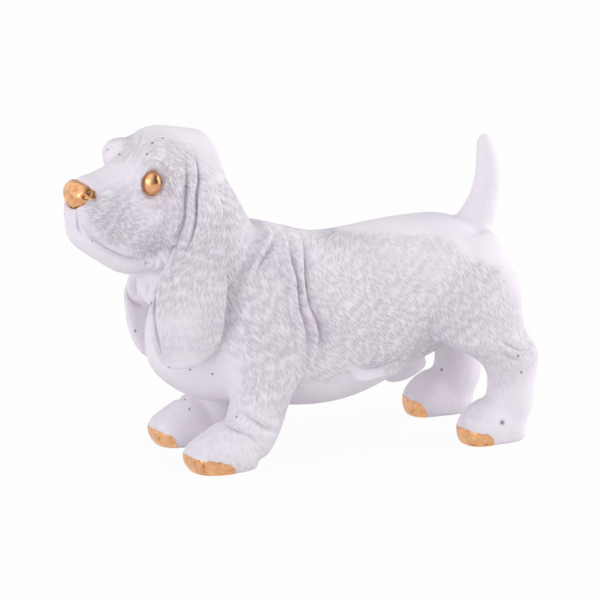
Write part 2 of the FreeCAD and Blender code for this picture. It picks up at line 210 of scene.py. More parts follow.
# %% Lumps of clay: eyeballs, the back of the nose, and skin that fills the valley before the ear
def ball(place, size):
    bpy.ops.mesh.primitive_uv_sphere_add(segments=32, ring_count=16, radius=1, location=place, scale=size)
    return bpy.context.object


LUMPS = [  # pixel, radius and how far its middle is sunk, in mm
    (187, 208, 4.6, 2.0), (184, 219, 5.0, 1.6), (180, 230, 5.2, 1.4), (176, 241, 5.2, 1.4),
    (171, 252, 5.0, 1.6), (167, 262, 4.4, 1.8), (193, 226, 4.6, 2.6), (188, 240, 4.6, 2.6),
    (181, 253, 4.4, 2.6), (198, 212, 4.6, 3.0), (151, 262, 3.6, 2.0),
]
EYE_PLUG_SUNK = 1.2
EYE_PLUG_RADIUS = 5.35
NOSE_PLUG_BACK = 2.4
NOSE_PLUG_SIZE = (5.4, 6.6, 4.6)
ROUND = Vector((1, 1, 1))
castings_tree = tree_of(join([copy_of(name, "skin") for name in CASTINGS], "skin"))
bpy.data.objects.remove(bpy.context.object)
for x, y, radius, sunk in LUMPS:
    place, normal = on_skin(castings_tree, x, y)
    for spot, facing in ((place, normal), on_other_side(castings_tree, place, normal) or (place, normal)):
        parts.append(ball(spot - facing * sunk * MM, ROUND * radius * MM))
for name, side in EYES.items():
    place = middle(name) - Vector((0, side * EYE_PLUG_SUNK * MM, 0))
    parts.append(ball(place, ROUND * EYE_PLUG_RADIUS * MM))
parts.append(ball(middle("nose") + Vector((NOSE_PLUG_BACK, 0, 0)) * MM, Vector(NOSE_PLUG_SIZE) * MM))
print(len(LUMPS), "lumps added")

# %% One skin
ROUGH_VOXEL = 0.75 * MM
ROUGH_ROUNDS = 12
body = join(parts, "clay")
settle(body)
apply(body, "REMESH", mode="VOXEL", voxel_size=ROUGH_VOXEL)
apply(body, "SMOOTH", factor=0.5, iterations=ROUGH_ROUNDS)
print("clay", len(body.data.vertices), "points")


# %% Rub the brows and the ear roots soft
SOFT_EDGE = 1.6  # the rubbing fades out at this many radii
SOFT_SPOTS = [  # pixels, radius in mm and rounds of smoothing
    ([(150, 152), (114, 150)], 7, 30),
    ([(206, 160), (203, 172), (202, 186), (196, 205), (187, 225), (180, 240), (173, 256)], 6, 40),
    ([(198, 131), (206, 140)], 6, 30),
]
FINE_VOXEL = 0.6 * MM
FINE_ROUNDS = 3
SOLE_HEIGHT = 0.5 * MM  # everything below it is pressed flat


def soften(obj, pixels, radius, iterations):
    """Smooths the skin round these pixels' places and on the other side."""
    tree = tree_of(obj)
    points = points_of(obj)
    weight = np.zeros(len(points))
    for x, y in pixels:
        place, _ = on_skin(tree, x, y)
        for side in (1, -1):
            gap = np.linalg.norm(points - np.array((place.x, place.y * side, place.z)), axis=1)
            weight = np.maximum(weight, np.clip(SOFT_EDGE - gap / (radius * MM), 0, 1))
    group = obj.vertex_groups.new(name="rub")
    for index in np.flatnonzero(weight):
        group.add([int(index)], float(weight[index]), "REPLACE")
    apply(obj, "SMOOTH", factor=0.5, iterations=iterations, vertex_group="rub")
    obj.vertex_groups.clear()


for pixels, radius, rounds in SOFT_SPOTS:
    soften(body, pixels, radius, rounds)
apply(body, "REMESH", mode="VOXEL", voxel_size=FINE_VOXEL)
apply(body, "SMOOTH", factor=0.5, iterations=FINE_ROUNDS)
points = points_of(body)
points[:, 2] = np.where(points[:, 2] < SOLE_HEIGHT, 0, points[:, 2])
set_points(body, points)
print("skin", len(body.data.vertices), "points")

# %% [markdown]
# ## Orbits
# The eyes sit in oval openings. The skin near each eye is moved sideways only, to a level that depends on
# how far out in the oval it lies: low inside for the hollow, higher outside for the rim that the lids make.

# %% Orbits: a hollow round each eye with a rim for the lids
EYE_WIDE, EYE_TALL = 4.05, 5.0  # half sizes of the opening between the lids
EYE_DROP = Vector((0, 0, -0.5))  # from the CAD eye's middle to the opening's
HOLLOW_OUT, RIM_OUT = 0.9, 2.5  # how far hollow and rim stand out from the eyeball's middle
RIM_START, RIM_WIDTH = 1.04, 0.22  # in half sizes of the opening
ORBIT_REACH, ORBIT_FADE = 2.1, 0.8
ORBIT_BACK = -4  # skin further in than this belongs to the other side
for name, side in EYES.items():
    centre = np.array(middle(name)) / MM + np.array(EYE_DROP)
    offset = points / MM - centre
    ellipse = np.hypot(offset[:, 0] / EYE_WIDE, offset[:, 2] / EYE_TALL)
    out = offset[:, 1] * side
    near = (ellipse < ORBIT_REACH) & (out > ORBIT_BACK)
    rise = np.clip((ellipse - RIM_START) / RIM_WIDTH, 0, 1)
    wanted = HOLLOW_OUT + (RIM_OUT - HOLLOW_OUT) * rise * rise * (3 - 2 * rise)
    fade = smooth_step(np.clip((ORBIT_REACH - ellipse) / ORBIT_FADE, 0, 1))
    points[:, 1] = np.where(near, points[:, 1] + side * (wanted - out) * fade * MM, points[:, 1])
set_points(body, points)
print("orbits", round(EYE_WIDE * 2, 1), "by", round(EYE_TALL * 2, 1), "mm")

# %% [markdown]
# ## Combing the coat
# The strokes of the loop tool follow the lie of the coat. A few comb strokes are drawn on the photograph,
# and every point of the skin takes the direction of the strokes near it. Two numbers are then worked out
# for every point: how far it lies across the strokes and how far along them. They are kept as an attribute,
# and a material that reads it draws fine grooves that follow the coat. The coat is worked out on the even
# skin, before the folds make parts of it finer.

# %% Comb strokes: start and end pixel, and how deep the tool went
COMB = [
    (90, 195, 104, 205, 0.7), (96, 210, 110, 222, 1), (110, 200, 122, 214, 1), (122, 190, 133, 206, 1),
    (108, 228, 122, 240, 1), (125, 222, 136, 238, 1), (140, 210, 150, 228, 1), (140, 236, 150, 250, 1),
    (158, 206, 166, 226, 1), (160, 230, 164, 250, 1), (172, 190, 176, 212, 1), (174, 165, 181, 182, 1),
    (168, 150, 178, 162, 1), (158, 138, 170, 148, 0.6), (131, 150, 137, 142, 0.7),
    (120, 150, 128, 140, 0.6), (146, 156, 150, 142, 0.5), (182, 215, 180, 235, 1), (192, 200, 192, 222, 1),
    (205, 150, 214, 168, 0.4), (204, 190, 210, 212, 1), (216, 178, 222, 200, 1), (224, 200, 230, 222, 1),
    (208, 222, 200, 244, 1), (222, 232, 216, 254, 1), (196, 250, 182, 266, 1), (182, 272, 170, 288, 1),
    (205, 258, 198, 280, 1), (222, 268, 220, 292, 1), (186, 290, 180, 316, 1), (204, 296, 202, 322, 1),
    (222, 306, 222, 330, 1), (180, 330, 180, 352, 0.8), (200, 330, 200, 352, 0.8),
    (218, 336, 216, 352, 0.8), (238, 230, 242, 246, 0.7), (240, 256, 248, 272, 1), (242, 286, 256, 302, 1),
    (262, 262, 274, 280, 1), (258, 300, 274, 318, 1), (276, 290, 286, 310, 1), (244, 320, 262, 338, 1),
    (270, 330, 288, 352, 1), (248, 350, 256, 372, 1), (276, 360, 284, 384, 1), (256, 384, 260, 404, 1),
    (282, 390, 280, 408, 1), (240, 404, 234, 424, 0.6), (262, 408, 254, 426, 0.5),
    (298, 244, 306, 262, 0.8), (312, 262, 324, 280, 1), (330, 244, 346, 256, 0.9),
    (360, 240, 378, 252, 0.8), (318, 292, 332, 308, 1), (350, 270, 368, 284, 1), (330, 322, 346, 338, 1),
    (362, 302, 380, 316, 1), (330, 352, 346, 364, 0.8), (366, 336, 384, 350, 1), (390, 256, 408, 266, 0.7),
    (392, 284, 410, 296, 0.9), (398, 312, 416, 326, 1), (400, 340, 414, 350, 0.8),
    (424, 262, 440, 274, 0.6), (424, 290, 440, 306, 0.9), (430, 318, 446, 334, 1), (448, 284, 462, 302, 1),
    (462, 310, 476, 328, 1), (474, 278, 488, 298, 1), (486, 312, 496, 332, 1), (500, 290, 508, 312, 0.6),
    (470, 340, 482, 354, 0.7), (500, 340, 506, 356, 0.7), (500, 370, 502, 390, 0.6),
    (480, 404, 472, 420, 0.4), (196, 446, 198, 458, 0.4), (214, 438, 218, 454, 0.45),
    (232, 444, 236, 460, 0.4), (168, 412, 166, 426, 0.3),
]
HEAD_STROKES = 0.8  # the strokes on the head against those on the body
HEAD_RIGHT, HEAD_BOTTOM = 200, 262  # the head's pixels end here
SMOOTH = [  # places that the tool left smooth
    (110, 178), (92, 184), (125, 170), (150, 128), (175, 130), (200, 135), (222, 160), (236, 185),
    (246, 208), (300, 228), (330, 228), (370, 222), (410, 216), (450, 218), (486, 236), (505, 255),
    (520, 285), (524, 310), (485, 150), (486, 175), (482, 200), (76, 222), (90, 245), (120, 262),
    (135, 285), (128, 300), (135, 330), (170, 380), (200, 385), (225, 375), (180, 410), (320, 400),
    (350, 390), (390, 378), (430, 365), (450, 362), (440, 395), (420, 405), (500, 425), (515, 400),
    (160, 272), (150, 212),
]


def stroke_scale(x, y):
    return HEAD_STROKES if x < HEAD_RIGHT and y < HEAD_BOTTOM else 1.0


def comb_marks(tree):
    """Places, directions and depths of the comb strokes on both sides, and the smooth places."""
    places, ways, depths, scales = [], [], [], []
    for x0, y0, x1, y1, depth in COMB:
        first, last = on_skin(tree, x0, y0), on_skin(tree, x1, y1)
        if not first or not last:
            continue
        way = (last[0] - first[0]).normalized()
        spot = (first[0] + last[0]) / 2
        for side in (1, -1):
            places.append((spot.x, spot.y * side, spot.z))
            ways.append((way.x, way.y * side, way.z))
            depths.append(depth)
            scales.append(stroke_scale(x0, y0))
    for x, y in SMOOTH:
        hit = on_skin(tree, x, y)
        if hit:
            for side in (1, -1):
                places.append((hit[0].x, hit[0].y * side, hit[0].z))
                ways.append((0, 0, 0))
                depths.append(0)
                scales.append(stroke_scale(x, y))
    return np.array(places), np.array(ways), np.array(depths), np.array(scales)


BATCH = 20000  # points worked on at a time
COMB_REACH = 6.5 * MM
DEPTH_FOCUS = 1.15  # depth keeps closer to its strokes than direction does
FAR_LIE = np.array((1e-9, 0, -0.6e-9))  # far from any stroke the coat lies back and down


def lie_of_coat(points, normals, marks):
    """For each point the way the coat lies in the skin, how deep it is combed, and the strokes' scale."""
    places, ways, depths, scales = marks
    lie = np.zeros_like(points)
    depth = np.zeros(len(points))
    scale = np.zeros(len(points))
    for start in range(0, len(points), BATCH):
        part = slice(start, start + BATCH)
        gap = np.linalg.norm(points[part, None] - places[None], axis=2) / COMB_REACH
        weight = np.exp(-(gap**2)) + 1e-9
        lie[part] = weight @ ways
        close = np.exp(-((gap * DEPTH_FOCUS) ** 2)) + 1e-12
        depth[part] = close @ depths / close.sum(1)
        scale[part] = close @ scales / close.sum(1)
    lie += FAR_LIE
    lie -= normals * np.sum(lie * normals, axis=1)[:, None]
    lie /= np.linalg.norm(lie, axis=1)[:, None] + 1e-12
    return lie, depth, scale


def measure_along(points, edges, ways, weights, rounds=500):
    """A number for each point that grows at one millimetre per millimetre along ways, as nearly as can be.

    It is the least squares answer over all edges, found with conjugate gradients.
    """
    a, b = edges[:, 0], edges[:, 1]
    rise = np.sum((ways[a] + ways[b]) / 2 * (points[b] - points[a]), axis=1) / MM
    weight = (weights[a] + weights[b]) / 2
    count = len(points)

    def spread(values):
        flow = weight * (values[b] - values[a])
        return np.bincount(b, flow, count) - np.bincount(a, flow, count)

    target = np.bincount(b, weight * rise, count) - np.bincount(a, weight * rise, count)
    scale = np.bincount(a, weight, count) + np.bincount(b, weight, count) + 1e-9
    value = np.zeros(count)
    rest = target.copy()
    eased = rest / scale
    search = eased.copy()
    power = rest @ eased
    for _ in range(rounds):
        pushed = spread(search)
        size = power / (search @ pushed + 1e-30)
        value += size * search
        rest -= size * pushed
        eased = rest / scale
        fresh = rest @ eased
        if fresh < 1e-9 * abs(power) + 1e-14:
            break
        search = eased + fresh / power * search
        power = fresh
    return value


# %% Work out the coat
INNER_SIDE, INNER_FADE = -0.4, 0.3  # the inner sides of ears and legs stay smooth
BARE_WEIGHT = 0.002  # what a smooth place still counts
tree = tree_of(body)
points = points_of(body)
normals = normals_of(body)
lie, depth, scale = lie_of_coat(points, normals, comb_marks(tree))
outward = normals[:, 1] * np.sign(points[:, 1])
depth *= np.clip((outward - INNER_SIDE) / INNER_FADE, 0, 1)
edges = np.empty(len(body.data.edges) * 2, dtype=np.int64)
body.data.edges.foreach_get("vertices", edges)
edges = edges.reshape(-1, 2)
across = np.cross(normals, lie)
weights = BARE_WEIGHT + depth
across_mm = measure_along(points, edges, across / scale[:, None], weights)
along_mm = measure_along(points, edges, lie / scale[:, None], weights)
print("coat worked out", round(float(np.ptp(across_mm)), 1), "mm across")
print("coat worked out", round(float(np.ptp(along_mm)), 1), "mm along")

# %% Keep the coat with the skin
coat = body.data.attributes.new("coat", "FLOAT_VECTOR", "POINT")
coat.data.foreach_set("vector", np.column_stack([across_mm, along_mm, depth]).ravel())
print("deepest comb", round(float(depth.max()), 2))

# %% [markdown]
# ## Pressing in the folds
# A fold is a line drawn on the photograph. Each of its points is cast from the camera onto the skin, and
# the skin near the line is pushed out for a ridge or in for a groove. The other side of the dog gets the
# mirrored line. Near the creases the faces are divided first, or a sharp line would break up into steps.
# The core of each groove is also noted in an attribute as painted shade, which the resin colours darker.


# %% Lines on the skin
def smooth_line(points, step=2.0):
    """A Catmull-Rom line through pixels, a point every few pixels."""
    points = [Vector(p) for p in points]
    padded = [points[0] * 2 - points[1]] + points + [points[-1] * 2 - points[-2]]
    line = []
    for a, b, c, d in zip(padded, padded[1:], padded[2:], padded[3:]):
        count = max(1, round((c - b).length / step))
        for n in range(count):
            t = n / count
            bow = (2 * a - 5 * b + 4 * c - d) * t * t
            twist = (3 * b - a - 3 * c + d) * t**3
            line.append(0.5 * (2 * b + (c - a) * t + bow + twist))
    return line + [points[-1]]


def cast_line(tree, pixels):
    hits = [on_skin(tree, *p) for p in smooth_line(pixels)]
    return [hit for hit in hits if hit]


def mirrored(tree, hits):
    """The same line on the other side, laid on the skin there."""
    other = [on_other_side(tree, *hit) for hit in hits]
    return [hit for hit in other if hit]


RIDGE_SHAPE, GROOVE_SHAPE = 2, 1.3  # exponents: grooves are sharper than ridges
PRESS_REACH = 2.6  # in widths
END_SHARE = 0.15  # what is left of a fold at its ends
FACING_GAIN = 2.5
SHADE_CORE = 0.55  # the core width of the painted shade against the groove's
FULL_SHADE_DEPTH = 2 * MM  # a groove this deep gets the full painted shade in its core


def press(points, normals, hits, height, width, taper=0.3, crease_shade=None):
    """Pushes the skin out along the line, or in for a negative height, and notes painted shade for a
    groove's core in crease_shade.
    """
    if len(hits) < 2:
        return
    line = np.array([h[0] for h in hits])
    facing = np.array([h[1] for h in hits])
    reach = PRESS_REACH * width
    inside = (points > line.min(0) - reach) & (points < line.max(0) + reach)
    near = np.flatnonzero(np.all(inside, axis=1))
    if not len(near):
        return
    best = np.full(len(near), np.inf)
    along = np.zeros(len(near))
    match = np.zeros(len(near))
    total = len(line) - 1
    for n in range(total):
        a = line[n]
        step = line[n + 1] - a
        offset = points[near] - a
        t = np.clip(offset @ step / max(step @ step, 1e-12), 0, 1)
        gap = np.linalg.norm(offset - t[:, None] * step, axis=1)
        closer = gap < best
        best = np.where(closer, gap, best)
        along = np.where(closer, (n + t) / total, along)
        match = np.where(closer, normals[near] @ facing[n], match)
    ends = smooth_step(np.clip(np.minimum(along, 1 - along) / taper, 0, 1))
    fade = (END_SHARE + (1 - END_SHARE) * ends) * np.clip(match * FACING_GAIN, 0, 1)
    profile = np.exp(-((best / width) ** (RIDGE_SHAPE if height > 0 else GROOVE_SHAPE))) * fade
    points[near] += normals[near] * (height * profile)[:, None]
    # a groove's core is coloured darker later: painted shade for the shade deep in the crease
    if crease_shade is not None and height < 0:
        painted_dark = np.exp(-((best / (SHADE_CORE * width)) ** 2)) * fade * min(1, -height / FULL_SHADE_DEPTH)
        crease_shade[near] = np.maximum(crease_shade[near], painted_dark)


def refine(obj, lines, reach, cuts):
    """Divides the faces near these lines and rubs them smooth again."""
    centres = values_of(obj.data.polygons, "center")
    near = np.zeros(len(centres), bool)
    for hits in lines:
        line = np.array([h[0] for h in hits])
        inside = (centres > line.min(0) - reach) & (centres < line.max(0) + reach)
        box = np.flatnonzero(np.all(inside, axis=1))
        if len(box):
            gap = np.linalg.norm(centres[box, None] - line[None], axis=2).min(1)
            near[box[gap < reach]] = True
    only(obj)
    bpy.ops.object.mode_set(mode="EDIT")
    bpy.ops.mesh.select_mode(type="FACE")
    bpy.ops.mesh.select_all(action="DESELECT")
    bpy.ops.object.mode_set(mode="OBJECT")
    obj.data.polygons.foreach_set("select", near)
    bpy.ops.object.mode_set(mode="EDIT")
    bpy.ops.mesh.subdivide(number_cuts=cuts)
    bpy.ops.object.mode_set(mode="OBJECT")
    apply(obj, "SMOOTH", factor=0.5, iterations=cuts + 1)
    print(int(near.sum()), "faces divided")


# %% The folds, as pixels of the photograph: height and width in mm, then the line
FOLDS = [
    # cheek: two deep creases with a roll of skin between them
    (-2.5, 0.75, [
        (185.5, 153), (187.6, 166), (188.2, 178), (187.2, 190), (185.2, 207),
        (184.6, 217), (180.5, 229), (175.4, 241.5), (171, 254), (167, 266),
    ]),
    (-2.5, 0.8, [
        (190, 146), (196, 156), (199.5, 168), (199.9, 180), (197.5, 192),
        (196.8, 207), (196, 222), (191.7, 237.4), (187, 249), (183, 257),
    ]),
    (0.9, 1.5, [
        (190, 156), (193.5, 172), (192.8, 190), (191, 212),
        (188.5, 229), (182, 246), (176, 262),
    ]),
    (0.6, 1.8, [(204, 168), (207, 186), (205, 206), (203, 224), (197, 242), (187, 258)]),
    # the muzzle round the nose
    (-1.2, 1.6, [(92, 186), (95.5, 192), (96, 199), (92, 205)]),
    # brows
    (-1.6, 0.7, [(130.5, 137), (129, 142), (124, 149), (118, 157)]),
    (-0.6, 1.0, [(133, 158), (134.5, 166), (137, 176)]),
    (0.5, 2.0, [(140, 152), (147, 147), (156, 148), (165, 155), (172, 165)]),
    # lids
    (-0.8, 0.7, [(137, 172), (140, 165), (148, 160), (157, 161), (166, 168), (172, 178), (177, 190)]),
    (-0.6, 0.6, [(158, 165.5), (164, 173), (168, 182), (169, 190)]),
    (0.6, 0.9, [(163, 168), (169, 178), (172.5, 190), (176, 202)]),
    (-0.6, 1.1, [(141, 203), (149, 207), (159, 206), (168, 198)]),
    # muzzle: philtrum, the edge of the hanging lip and the mouth under it
    (-1.5, 0.7, [(76, 207), (75.3, 218), (77.5, 229), (84, 237)]),
    (0.9, 1.4, [
        (87, 212), (85, 222), (90.5, 231), (102, 239),
        (113, 246), (127, 252), (142, 254.5), (153, 254),
    ]),
    (-2.3, 0.75, [
        (84, 219), (85.5, 228), (91.5, 235.5), (101, 242.6),
        (112, 249.8), (126, 256), (141, 259), (151, 257.5),
    ]),
    (-0.5, 1.8, [(92, 242), (106, 252), (122, 259), (140, 264)]),
    (0.8, 0.9, [
        (143, 257), (152, 255), (158.5, 258.5), (159.5, 264),
        (155, 269.5), (147, 271.5), (139, 270),
    ]),
    (-1.2, 1.3, [(144, 264), (149, 263.5), (153, 264)]),
    (-1.0, 0.8, [(162, 258), (164, 266), (160, 273), (150, 276)]),
    # throat
    (-1.2, 0.9, [(120, 270), (125, 289), (132, 300), (142, 306), (150, 308)]),
    (0.9, 1.2, [(144, 278), (139.5, 290), (140.5, 298), (146, 303), (151, 303)]),
    (-0.9, 1.3, [(148, 282), (146, 290), (148, 297)]),
    # front edge of the ear
    (-1.5, 0.8, [
        (161, 283), (156.5, 292), (155, 304), (155, 316),
        (157.5, 334), (161.5, 350), (166, 364),
    ]),
    (0.6, 1.6, [(166, 281), (161, 292), (159, 305), (159.5, 320), (162, 336), (166, 350)]),
    # withers and shoulder
    (2.0, 1.5, [(256, 219), (263, 225), (268.7, 235), (265.8, 245), (257, 258), (251, 272), (248, 285)]),
    (-2.2, 1.1, [(272, 230), (273, 240), (268, 250), (260, 263), (255, 276)]),
    (2.1, 1.4, [
        (275, 227), (283, 238), (286.5, 251), (288.5, 265), (293, 279),
        (295.5, 308), (302, 333), (304, 359), (303, 372),
    ]),
    (-2.5, 1.1, [
        (283, 228), (289, 240), (292, 254), (294, 266), (297.5, 282),
        (299, 304), (306, 326), (308.5, 345), (306, 364),
    ]),
    (1.8, 1.4, [
        (289, 226), (295, 236), (299, 249), (301, 278), (303, 302),
        (312, 324), (314, 339), (309, 363), (300, 385),
    ]),
    (-1.9, 1.2, [
        (297, 228), (303, 240), (306, 256), (307, 280),
        (311, 302), (319, 322), (321, 340), (316, 362),
    ]),
    (0.8, 1.6, [(306, 229), (311, 242), (313, 258), (314, 276)]),
    (-0.9, 1.8, [(262, 338), (270, 350), (284, 356), (296, 352)]),
    # wrist
    (-1.3, 0.9, [(238, 411), (252, 419), (264, 427), (276, 434)]),
    (0.6, 1.2, [(240, 406), (256, 415), (270, 424), (280, 429)]),
    (-1.2, 0.9, [(222, 421), (234, 428), (246, 434), (256, 441), (262, 450)]),
    # stifle, hock and belly
    (-1.1, 1.0, [(497, 337), (509, 345), (520, 350), (531, 348)]),
    (-1.0, 1.0, [(499, 352), (511, 358), (523, 361)]),
    (0.8, 1.4, [(524, 340), (532, 348), (533, 358), (527, 366)]),
    (1.5, 1.3, [(346, 371), (353, 374), (359, 379), (378, 375), (394, 372), (405, 364), (420, 356)]),
    (-1.2, 1.4, [(352, 366), (366, 370), (382, 368), (398, 361), (412, 352)]),
]

SHARP_WIDTH = 1.5  # grooves narrower than this get finer clay
SHARP_REACH = 1.4 * MM
tree = tree_of(body)
fold_lines = []
for height, width, pixels in FOLDS:
    hits = cast_line(tree, pixels)
    fold_lines += [(height, width, hits), (height, width, mirrored(tree, hits))]
sharp = [hits for height, width, hits in fold_lines if hits and height < 0 and width < SHARP_WIDTH]
refine(body, sharp, SHARP_REACH, 1)
points = points_of(body)
normals = normals_of(body)
crease_shade = np.zeros(len(points))
for height, width, hits in fold_lines:
    press(points, normals, hits, height * MM, width * MM, crease_shade=crease_shade)
set_points(body, points)
# painted shade: how dark each crease is coloured, for the shade deep in it that the mesh is too coarse to
# cast
crease_shade_note = body.data.attributes.new("hollow", "FLOAT", "POINT")
crease_shade_note.data.foreach_set("value", crease_shade)
print(len(FOLDS), "folds pressed in")

# %% [markdown]
# ## Casting pinholes
# Air bubbles burst at the skin of a resin casting and leave small pits. The ones in the photograph are
# pressed in where they show. A few dozen faces round each are divided, so that the pit is round. Each pit
# is also coloured dark, as painted shade for the shade inside it, together with the creases' painted shade.

# %% Casting pinholes, as pixels of the photograph and radius in mm
PINHOLES = [
    (119.6, 154, 0.35), (152.1, 142.6, 0.45), (146.8, 153.8, 0.4), (162.7, 138, 0.3), (107.6, 149.7, 0.3),
    (92.8, 240.8, 0.35), (188.7, 188.2, 0.35), (135.7, 330.9, 0.4), (168.9, 367.8, 0.4),
    (190.3, 369.8, 0.35), (212.4, 374, 0.4), (184.6, 399.5, 0.4), (189.6, 408.8, 0.35), (236.2, 416.8, 0.4),
    (151.4, 303, 0.35), (502.4, 422.6, 0.8), (518.4, 356, 0.45), (521.5, 372.3, 0.45), (441.5, 369.5, 0.45),
]
PIT_REACH = 1.1 * MM
PIT_CUTS = 3
PIT_EDGE = 1.6  # the pit ends at this many radii
PIT_DEPTH = 0.35
CREASE_SHADE_SHARE = 0.5  # how strong the creases' painted shade is against a pinhole's
tree = tree_of(body)
pinhole_hits = [(on_skin(tree, x, y), radius) for x, y, radius in PINHOLES]
refine(body, [[hit] for hit, radius in pinhole_hits if hit], PIT_REACH, PIT_CUTS)
points = points_of(body)
normals = normals_of(body)
# painted shade: the creases' at half strength, and a dark disc round each pit for the shade inside it
hollow = values_of(body.data.attributes["hollow"].data, "value", 1) * CREASE_SHADE_SHARE
for hit, radius in pinhole_hits:
    if hit:
        gap = np.linalg.norm(points - np.array(hit[0]), axis=1) / MM
        pit = np.clip(PIT_EDGE - gap / radius, 0, 1)
        points -= normals * (pit * PIT_DEPTH * MM)[:, None]
        hollow = np.maximum(hollow, pit)
set_points(body, points)
body.data.attributes["hollow"].data.foreach_set("value", hollow)
clay = body.data.attributes.new("clay", "FLOAT", "POINT")
clay.data.foreach_set("value", np.ones(len(points)))
print(len(PINHOLES), "pinholes")

# %% [markdown]
# ## Cutting the figure into its castings
# A mould maker cuts the finished clay where the castings part. Ears and tail are cut out with grown copies
# of their CAD solids, the legs with boxes at the leg seams, and the head with a slanted block at the neck
# seam. Cut this way, both sides of a seam match to the last point. Afterwards each cut edge takes the
# coat's numbers and the smooth normals of the whole clay, so that no seam shows.


# %% Cutting tools
CUTTER_VOXEL = 0.8 * MM


def cutter_from(node, grow):
    obj = copy_of(node, "cutter_" + node)
    apply(obj, "REMESH", mode="VOXEL", voxel_size=CUTTER_VOXEL)
    apply(obj, "DISPLACE", strength=grow, mid_level=0)
    return obj


def block(low, high, name):
    low, high = Vector(low) * MM, Vector(high) * MM
    bpy.ops.object.select_all(action="DESELECT")
    bpy.ops.mesh.primitive_cube_add(size=1, location=(low + high) / 2)
    obj = bpy.context.object
    obj.scale = high - low
    obj.name = name
    settle(obj)
    return obj


def cut_out(rest, cutter, name):
    """Takes the part inside the cutter out of the rest, and returns it as a piece of its own."""
    piece = rest.copy()
    piece.data = rest.data.copy()
    piece.name = name
    bpy.context.scene.collection.objects.link(piece)
    apply(piece, "BOOLEAN", operation="INTERSECT", object=cutter, solver="MANIFOLD")
    apply(rest, "BOOLEAN", operation="DIFFERENCE", object=cutter, solver="MANIFOLD")
    bpy.data.objects.remove(cutter)
    print(name, len(piece.data.polygons), "faces, left", len(rest.data.polygons))
    return piece


# %% Cut
EAR_MARGIN = 0.9 * MM
TAIL_BLOCK = ((70, -14, 80), (110, 14, 140))
LEG_INNER, LEG_OUTER = 9.5, 60  # sideways, in mm
LEG_SPARE = 12
BELOW_FLOOR = -5
SEAMS = {"front": 31.0, "hind": 32.5}  # heights of the leg seams
NECK = Vector((-39.2, 0, 85.48))
NECK_TILT = math.radians(-22)
HEAD_BLOCK = ((-120, -100, 0), (120, 100, 120))
apply(body, "TRIANGULATE")
whole = body.copy()
whole.data = body.data.copy()
whole.name = "whole_clay"
bpy.context.scene.collection.objects.link(whole)
only(whole)
bpy.ops.object.shade_smooth()
castings = {}
for name in ("left_ear", "right_ear"):
    castings[name] = cut_out(body, cutter_from(name, EAR_MARGIN), name + "_casting")
castings["tail"] = cut_out(body, block(*TAIL_BLOCK, "cutter"), "tail_casting")
for name in LEGS:
    low, high = [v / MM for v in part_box(name)]
    side = 1 if "right" in name else -1
    near, far = sorted((side * LEG_INNER, side * LEG_OUTER))
    lower = (low.x - LEG_SPARE, near, BELOW_FLOOR)
    upper = (high.x + LEG_SPARE, far, SEAMS[name.split("_")[0]])
    castings[name] = cut_out(body, block(lower, upper, "cutter"), name + "_casting")
head_block = block(*HEAD_BLOCK, "cutter")
head_block.data.transform(Matrix.Translation(NECK * MM) @ Matrix.Rotation(NECK_TILT, 4, "Y"))
castings["head"] = cut_out(body, head_block, "head_casting")
castings["trunk"] = body
body.name = "trunk_casting"

# %% The coat's numbers and the painted shade on the cut edges, from the whole clay
KEPT = 0.999  # a point made by a cut has less of the clay attribute
tree = tree_of(whole)
whole_coat = values_of(whole.data.attributes["coat"].data, "vector")
whole_hollow = values_of(whole.data.attributes["hollow"].data, "value", 1)
for name, piece in castings.items():
    kept = values_of(piece.data.attributes["clay"].data, "value", 1)
    fresh = np.flatnonzero(kept < KEPT)
    coats = piece.data.attributes["coat"].data
    hollows = piece.data.attributes["hollow"].data
    for index in fresh:
        place = piece.data.vertices[index].co
        spot, _, face, _ = tree.find_nearest(place)
        corners = list(whole.data.polygons[face].vertices)
        pull = np.array([1 / ((whole.data.vertices[c].co - spot).length + 1e-9) ** 2 for c in corners])
        coats[index].vector = pull @ whole_coat[corners] / pull.sum()
        hollows[index].value = float(pull @ whole_hollow[corners] / pull.sum())
    print(name, len(fresh), "points on cut edges")

# %% [markdown]
# ## Nose and eyes
# Both are small gilded castings. The nose is a pad with two wings and comma-shaped nostrils. It starts from
# the CAD nose, whose drilled nostrils are filled first, and gets its folds like the skin. The eyes are
# plain domes that the lids hold.

# %% Nose
NOSE_VOXEL = 0.24 * MM
NOSE_ROUNDS = 6
NOSE_TAPER = 0.4
FILL_BACK, FILL_OUT, FILL_DROP, FILL_RADIUS = 1.6, 3.85, 0.8, 1.5  # the balls that fill the nostrils
WING_BACK, WING_OUT, WING_DROP = 2.5, 4.2, 0.5
WING_SIZE = (4.0, 4.4, 4.5)
nose_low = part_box("nose")[0]
nose_middle = middle("nose")
fills = [
    ball(
        Vector((nose_low.x + FILL_BACK * MM, side * FILL_OUT * MM, nose_middle.z - FILL_DROP * MM)),
        ROUND * FILL_RADIUS * MM,
    )
    for side in (1, -1)
]
wings = [
    ball(nose_middle + Vector((WING_BACK, side * WING_OUT, -WING_DROP)) * MM, Vector(WING_SIZE) * MM)
    for side in (1, -1)
]
nose = join([copy_of("nose", "nose_gilded")] + fills + wings, "nose_gilded")
settle(nose)
apply(nose, "REMESH", mode="VOXEL", voxel_size=NOSE_VOXEL)
apply(nose, "SMOOTH", factor=0.5, iterations=NOSE_ROUNDS)
NOSE_FOLDS = [
    (-1.3, 2.4, [(67.5, 198), (69.5, 202), (73, 205)]),
    (-1.0, 0.8, [(84.5, 184), (87, 184.5), (89, 186)]),
    (-1.3, 0.5, [(81.5, 195.5), (84.5, 197.3), (88, 199.3)]),
    (-0.9, 0.6, [(68.5, 192), (73, 190), (79, 189)]),
    (0.4, 1.0, [(68, 185), (75, 184), (82, 185)]),
]
tree = tree_of(nose)
points = points_of(nose)
normals = normals_of(nose)
